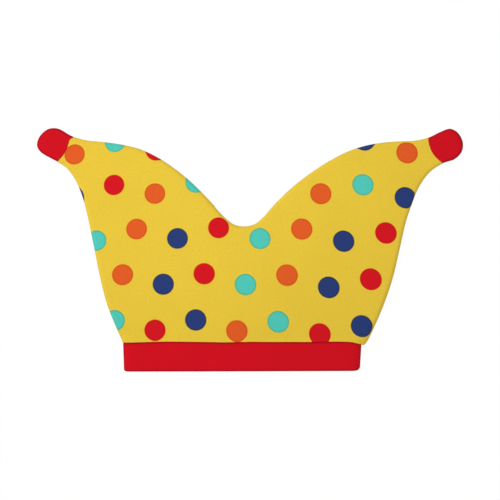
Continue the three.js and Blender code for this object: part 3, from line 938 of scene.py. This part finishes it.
def dye_wear_and_painted_light_group():
    """Uneven dye, worn edges and painted light: broad mottling, rolled edges paler partly as worn cloth
    and partly as a painted highlight, and seams darkened by painted shade.
    """
    group, tree, given, result = new_group(
        "Dye Wear And Painted Light",
        [
            ("Cloth", VECTOR, None),
            ("Colour", COLOUR, WHITE),
            ("Seam Distance", FLOAT, 1.0),
            ("Mottling", FLOAT, 0.05),
            ("Edge Wear And Highlight", FLOAT, 0.05),
            ("Painted Seam Shade", FLOAT, 0.15),
        ],
        [("Colour", COLOUR), ("Roughness", FLOAT)],
    )
    broad = tree.noise(given["Cloth"], BROAD_SCALE, BROAD_DETAIL)
    fine = tree.noise(given["Cloth"], FINE_SCALE, FINE_DETAIL)
    both = tree.math("MULTIPLY_ADD", fine, FINE_SHARE, tree.math("MULTIPLY", broad, 1 - FINE_SHARE))
    spread = tree.math("MULTIPLY", tree.math("SUBTRACT", both, 0.5), given["Mottling"])
    # Painted shade darkens the cloth in and beside each seam; the paler crest beside it is partly worn
    # cloth and partly a painted highlight
    groove = tree.ramp(given["Seam Distance"], DARKEST_AT, PAINTED_LIGHT_REACH, 1.0, 0.0)
    crest = tree.ramp(given["Seam Distance"], PALEST_AT, PAINTED_LIGHT_REACH, 1.0, 0.0)
    darker = tree.math("MULTIPLY", groove, given["Painted Seam Shade"])
    paler = tree.math("MULTIPLY", crest, given["Edge Wear And Highlight"])
    even = tree.math("SUBTRACT", tree.math("ADD", 1.0, paler), darker)
    # Doubled, because the noise goes only half a unit up or down from its middle
    value = tree.math("ADD", even, tree.math("MULTIPLY", spread, 2.0))
    tinted = tree.add("ShaderNodeHueSaturation", {"Color": given["Colour"], "Value": value})
    tree.link(tinted.outputs["Color"], result["Colour"])
    tree.link(tree.math("MULTIPLY_ADD", fine, ROUGHNESS_SPREAD, LEAST_ROUGHNESS), result["Roughness"])
    return group


def group_named(name):
    """The shared node group of that name, made the first time it is asked for."""
    makers = {"Dot Row": dot_row_group, "Jersey Knit": knit_group, "Dye Wear And Painted Light": dye_wear_and_painted_light_group}
    return bpy.data.node_groups.get(name) or makers[name]()


def jersey_material(name, base_colour, sheen_tint, mottling, edge_wear_and_highlight, painted_seam_shade):
    """Knitted cotton. base_colour is given the node tree and the cloth, and returns a colour."""
    material = bpy.data.materials.new(name)
    material.use_nodes = True
    material.node_tree.nodes.clear()
    tree = NodeTree(material.node_tree)
    cloth = tree.add("ShaderNodeUVMap", uv_map="cloth").outputs["UV"]
    seam_distance = tree.add("ShaderNodeAttribute", attribute_name="seam_distance").outputs["Fac"]
    # The shared group mottles the dye and paints shade, and a partly painted highlight, beside the
    # seams
    dyed_worn_and_painted = tree.shared("Dye Wear And Painted Light", {
        "Cloth": cloth,
        "Colour": base_colour(tree, cloth),
        "Seam Distance": seam_distance,
        "Mottling": mottling,
        "Edge Wear And Highlight": edge_wear_and_highlight,
        "Painted Seam Shade": painted_seam_shade,
    })
    knit = tree.shared("Jersey Knit", {"Cloth": cloth})
    bump = tree.add("ShaderNodeBump", {
        "Height": knit["Height"],
        "Strength": KNIT_STRENGTH,
        "Distance": KNIT_DEPTH,
    })
    # The base colour is multiplied by the knit's painted shade between stitches
    surface = tree.add("ShaderNodeBsdfPrincipled", {
        "Base Color": tree.blend(1.0, dyed_worn_and_painted["Colour"], knit["Shade"], "MULTIPLY"),
        "Roughness": dyed_worn_and_painted["Roughness"],
        "Normal": bump.outputs["Normal"],
        "Specular IOR Level": 0.06,
        "Sheen Weight": 0.04,
        "Sheen Roughness": 0.5,
        "Sheen Tint": opaque(sheen_tint),
    })
    tree.add("ShaderNodeOutputMaterial", {"Surface": surface.outputs["BSDF"]})
    return material


def opaque(rgb):
    return (*rgb, 1.0)


def printed_colour(look):
    """A function that draws the dots on their ground."""

    def draw(tree, cloth):
        printed = opaque(look.ground)
        for row in DOT_ROWS:
            inputs = {
                "Cloth": cloth,
                "Height": row.height,
                "Start": row.start,
                "Pitch": look.dot_pitch,
                "Zigzag": look.zigzag if row.lower_first else -look.zigzag,
                "Radius": row.size * look.dot_diameter / 2,
                "Ground": opaque(look.ground),
                "Overlap": look.dot_overlap,
            }
            for number, name in enumerate(row.colours, start=1):
                inputs[f"Colour {number}"] = opaque(getattr(look, name))
            dots = tree.shared("Dot Row", inputs)
            printed = tree.blend(dots["Mask"], printed, dots["Colour"])
        return printed

    return draw


def show_through_colour(look):
    """A function that draws the cloth's inner side, with what shows there of the print."""

    def draw(tree, cloth):
        return tree.blend(look.show_through, opaque(look.reverse), printed_colour(look)(tree, cloth))

    return draw


def plain_colour(rgb):
    return lambda tree, cloth: opaque(rgb)


# In each jersey below, the darkening by the seams is painted shade, and the paler edge is partly worn
# cloth, partly a painted highlight
def dotted_jersey_face(name, look):
    return jersey_material(
        name, printed_colour(look), look.ground, mottling=0.12, edge_wear_and_highlight=0.05, painted_seam_shade=0.04
    )


def dotted_jersey_reverse(name, look):
    return jersey_material(
        name, show_through_colour(look), look.reverse, mottling=0.06, edge_wear_and_highlight=0.0, painted_seam_shade=0.0
    )


def red_cap_jersey(name, look):
    return jersey_material(
        name, plain_colour(look.caps), look.caps, mottling=0.12, edge_wear_and_highlight=0.0, painted_seam_shade=0.3
    )


def red_band_jersey(name, look):
    return jersey_material(
        name, plain_colour(look.band), look.band, mottling=0.12, edge_wear_and_highlight=0.0, painted_seam_shade=0.3
    )


def material_from(maker):
    """The material that a function makes, under its name, made the first time it is asked for."""
    name = maker.__name__
    return bpy.data.materials.get(name) or maker(name, bpy.context.scene.hat_print)


class HAT_OT_panels(bpy.types.Operator):
    """Makes the front and back panels of dotted jersey"""

    bl_idname = "jester_hat.panels"
    bl_label = "Make Panels"

    def execute(self, context):
        pattern = Pattern(context.scene.hat_sizes)
        cloth = make_cloth(pattern)
        materials = [material_from(dotted_jersey_face), material_from(dotted_jersey_reverse)]
        ends = (pattern.left_seam, pattern.right_seam)
        for side, below in (("back", "floor"), ("front", "back_cloth")):
            sheet = getattr(cloth, side)
            piece = make_piece(pattern, cloth, sheet, f"{side}_cloth", *ends, materials)
            declare(piece, "dotted_jersey", f"{side}_panel_left", f"{side}_panel_right")
        return {"FINISHED"}


class HAT_OT_caps(bpy.types.Operator):
    """Makes the red caps at the ends of both horns"""

    bl_idname = "jester_hat.caps"
    bl_label = "Make Caps"

    def execute(self, context):
        pattern = Pattern(context.scene.hat_sizes)
        cloth = make_cloth(pattern)
        materials = [material_from(red_cap_jersey)] * 2
        ends = {
            "left": (-1, 0, pattern.left_seam),
            "right": (1, pattern.right_seam, pattern.last),
        }
        for name, (direction, first, last) in ends.items():
            # Each cap lies a seam's gap away from its horn
            away = Matrix.Translation((*(pattern.cap_direction(direction) * SEAM_GAP), 0))
            back = f"{name}_cap_back_cloth"
            for side, below in (("back", "floor"), ("front", back)):
                sheet = getattr(cloth, side)
                label = f"{name}_cap_{side}"
                piece = make_piece(pattern, cloth, sheet, f"{label}_cloth", first, last, materials)
                piece.data.transform(away)
                declare(piece, "red_jersey", label)
        return {"FINISHED"}


class HAT_OT_band(bpy.types.Operator):
    """Makes the folded red band round the opening"""

    bl_idname = "jester_hat.band"
    bl_label = "Make Band"

    def execute(self, context):
        pattern = Pattern(context.scene.hat_sizes)
        piece = make_band(pattern, material_from(red_band_jersey))
        declare(piece, "red_band", "band")
        return {"FINISHED"}


def band_ring(pattern, below, inset):
    """One ring round the band at a distance below its seam, moved inward by inset."""
    sizes = pattern.sizes
    width = sizes.band_width
    down = below / sizes.band_height
    angle = np.linspace(0, 1, BAND_ROLL_POINTS) * (math.pi / 2)
    roll = WIDEST_ROLL * (1 - np.cos(angle))
    flat = np.linspace(WIDEST_ROLL, width - WIDEST_ROLL, BAND_FLAT_POINTS)
    place = np.concatenate([roll[:-1], flat, width - roll[-2::-1]])
    narrower = []
    for end in (BAND_LEFT, BAND_RIGHT):
        into = max(0.0, below - (sizes.band_height - end.corner))
        rounding = end.corner - math.sqrt(max(0.0, end.corner**2 - into**2))
        narrower.append(end.taper * down + rounding)
    left, right = pattern.band_left + narrower[0], pattern.band_right - narrower[1]
    x = left + (right - left) * place / width
    distance = np.minimum(x - left, right - x)
    end_roll = np.where(x < pattern.band_middle, BAND_LEFT.roll, BAND_RIGHT.roll)
    start = pattern.seam_line(x) - SEAM_GAP
    rim = RIM_SHORT - sizes.band_height + RIM_TILT * (place / width - 0.5)
    y = start + (rim - start) * down
    rise = sizes.band_level - sizes.seam_level + dome(pattern, x, 0.0)
    rise = rise + BAND_WAVE_DEPTH * ripple(BAND_WAVE, x, 0.0)
    puckers = sizes.pucker * seam_waves(x) * math.exp(-below / PUCKER_REACH)
    top = sizes.seam_level + (rise + puckers) * rolled(distance, end_roll)
    bottom = sizes.seam_level * (1 - rolled(distance, BACK_ROLL))
    front, back = (np.stack([x, y, z], axis=-1) for z in (top, bottom))
    ring = np.vstack([front, back[-2:0:-1]])
    step = np.roll(ring, -1, axis=0) - np.roll(ring, 1, axis=0)
    normal = np.stack([-step[:, 2], np.zeros(len(step)), step[:, 0]], axis=-1)
    normal /= np.linalg.norm(normal, axis=-1, keepdims=True)
    ring = ring - normal * inset
    ring[:, 1] += pattern.seam_y
    return ring


def band_profile(sizes):
    """Distance below the seam and inset of each ring, round both sides of the folded cloth."""
    fold = sizes.band_wall / 2
    crease = BAND_LAYER_GAP / 2
    end = sizes.band_height - fold
    turned = [(part * BAND_SEAM_ROUND, (1 - rolled(part, 1.0)) * BAND_TUCK) for part in BAND_SEAM_STEPS]
    corner = end - max(BAND_LEFT.corner, BAND_RIGHT.corner)
    levels = [
        *np.linspace(BAND_FIRST_LEVEL, corner, BAND_LEVELS),
        *np.linspace(corner, end, RIM_CORNER_LEVELS)[1:],
    ]

    def turn(radius, steps):
        angles = [math.pi * (step + 1) / (steps + 1) for step in range(steps)]
        return [
            (end + radius * math.sin(angle), fold - radius * math.cos(angle)) for angle in angles
        ]

    outside = [(below, 0.0) for below in levels]
    inside = [(below, sizes.band_wall) for below in [*reversed(levels), 0.0]]
    between_down = [(below, fold + crease) for below in [0.0, *levels]]
    between_up = [(below, fold - crease) for below in [*reversed(levels), BAND_SEAM_ROUND]]
    outer_fold, inner_fold = turn(fold, RIM_FOLD_STEPS), turn(crease, RIM_CREASE_STEPS)[::-1]
    return turned + outside + outer_fold + inside + between_down + inner_fold + between_up


def make_band(pattern, material):
    """A strip folded in two at the rim, closed into a ring."""
    sizes = pattern.sizes
    profile = band_profile(sizes)
    rings = np.array([band_ring(pattern, below, inset) for below, inset in profile])
    this = np.arange(rings.shape[0] * rings.shape[1]).reshape(rings.shape[:2])
    following = np.roll(this, -1, axis=0)
    corners = [this, following, np.roll(following, -1, axis=1), np.roll(this, -1, axis=1)]
    faces = np.stack(corners, axis=-1).reshape(-1, 4)
    mesh = new_mesh("band_cloth", rings.reshape(-1, 3), faces, [material])

    depth, inset = np.array(profile).T
    girth = np.linalg.norm(np.diff(rings[0], axis=0), axis=-1)
    run = np.concatenate([[0], np.cumsum(girth)])
    down = np.where(inset < sizes.band_wall / 2, -depth, depth - 2 * sizes.band_height)
    cloth_places = np.stack(np.broadcast_arrays(run[None, :], down[:, None]), axis=-1)
    # Distance to the band's ends, to its seam under the crown's overhang and to its rim, beside which
    # the material paints shade
    x = rings[..., 0]
    to_end = np.minimum(x - x.min(), x.max() - x)
    to_seam = np.maximum(depth - SEAM_OVERHANG, 0)
    to_edge = np.minimum(to_end, np.minimum(to_seam, sizes.band_height - depth)[:, None])
    lay_out(mesh, cloth_places.reshape(-1, 2), to_edge.ravel())
    shade(mesh)
    return place_in_scene("band_cloth", mesh)


class HAT_OT_stage(bpy.types.Operator):
    """Makes the floor, the soft lights and the camera above the hat"""

    bl_idname = "jester_hat.stage"
    bl_label = "Make Stage"

    def execute(self, context):
        settings = context.scene.hat_stage
        make_floor(settings)
        make_lights(settings)
        make_camera(settings)
        context.scene.view_settings.view_transform = "Standard"
        context.scene.view_settings.look = "None"
        return {"FINISHED"}


def make_floor(settings):
    far = FLOOR_REACH
    corners = np.array([(-far, -far), (far, -far), (far, far), (-far, far)])
    points = np.column_stack([corners, np.full(len(corners), -FLOOR_GAP)])
    material = bpy.data.materials.new("pale_floor")
    material.use_nodes = True
    material.node_tree.nodes.clear()
    tree = NodeTree(material.node_tree)
    seen = tree.add("ShaderNodeLightPath").outputs["Is Camera Ray"]
    faint = tuple(settings.floor_shade * value for value in settings.floor)
    surface = tree.add("ShaderNodeBsdfPrincipled", {
        "Base Color": tree.blend(seen, opaque(settings.floor), opaque(faint)),
        "Roughness": 0.9,
        "Specular IOR Level": 0.0,
        "Emission Color": WHITE,
        "Emission Strength": tree.math("MULTIPLY", seen, settings.floor_glow),
    })
    tree.add("ShaderNodeOutputMaterial", {"Surface": surface.outputs["BSDF"]})
    mesh = new_mesh("floor", points, np.arange(len(points))[None, :], [material])
    place_in_scene("floor", mesh)


def make_lights(settings):
    world = bpy.data.worlds.new("even_sky")
    world.use_nodes = True
    background = world.node_tree.nodes["Background"]
    background.inputs["Color"].default_value = WHITE
    background.inputs["Strength"].default_value = settings.sky_strength
    bpy.context.scene.world = world
    light = bpy.data.lights.new("key_light", "AREA")
    light.shape = "SQUARE"
    light.size = settings.key_size
    light.energy = settings.key_power
    light.spread = settings.key_spread
    lamp = place_in_scene("key_light", light)
    lamp.location = KEY_PLACE
    lamp.rotation_mode = "QUATERNION"
    lamp.rotation_quaternion = (Vector(KEY_AIM) - lamp.location).to_track_quat("-Z", "Y")


def make_camera(settings):
    lens = bpy.data.cameras.new("camera")
    distance = settings.camera_height - settings.view_level
    lens.lens = lens.sensor_width * distance / settings.view_width
    lens.clip_start = NEAREST_SEEN
    lens.clip_end = FARTHEST_SEEN
    camera = place_in_scene("camera", lens)
    camera.location = (settings.camera_x, settings.camera_y, settings.camera_height)
    bpy.context.scene.camera = camera


class HAT_PT_sidebar(bpy.types.Panel):
    bl_idname = "HAT_PT_sidebar"
    bl_label = "Jester Hat"
    bl_space_type = "VIEW_3D"
    bl_region_type = "UI"
    bl_category = "Jester Hat"

    def draw(self, context):
        for operator in OPERATORS:
            self.layout.operator(operator.bl_idname)
        for group in (context.scene.hat_sizes, context.scene.hat_print, context.scene.hat_stage):
            box = self.layout.box()
            for name in group.__annotations__:
                box.prop(group, name)


OPERATORS = (HAT_OT_stage, HAT_OT_panels, HAT_OT_caps, HAT_OT_band)
CLASSES = (HatSizes, HatPrint, HatStage, *OPERATORS, HAT_PT_sidebar)


def register():
    for item in CLASSES:
        bpy.utils.register_class(item)
    bpy.types.Scene.hat_sizes = bpy.props.PointerProperty(type=HatSizes)
    bpy.types.Scene.hat_print = bpy.props.PointerProperty(type=HatPrint)
    bpy.types.Scene.hat_stage = bpy.props.PointerProperty(type=HatStage)


def unregister():
    del bpy.types.Scene.hat_stage
    del bpy.types.Scene.hat_print
    del bpy.types.Scene.hat_sizes
    for item in reversed(CLASSES):
        bpy.utils.unregister_class(item)


def main():
    register()
    bpy.ops.jester_hat.stage()
    bpy.ops.jester_hat.panels()
    bpy.ops.jester_hat.caps()
    bpy.ops.jester_hat.band()


if __name__ == "__main__":
    main()
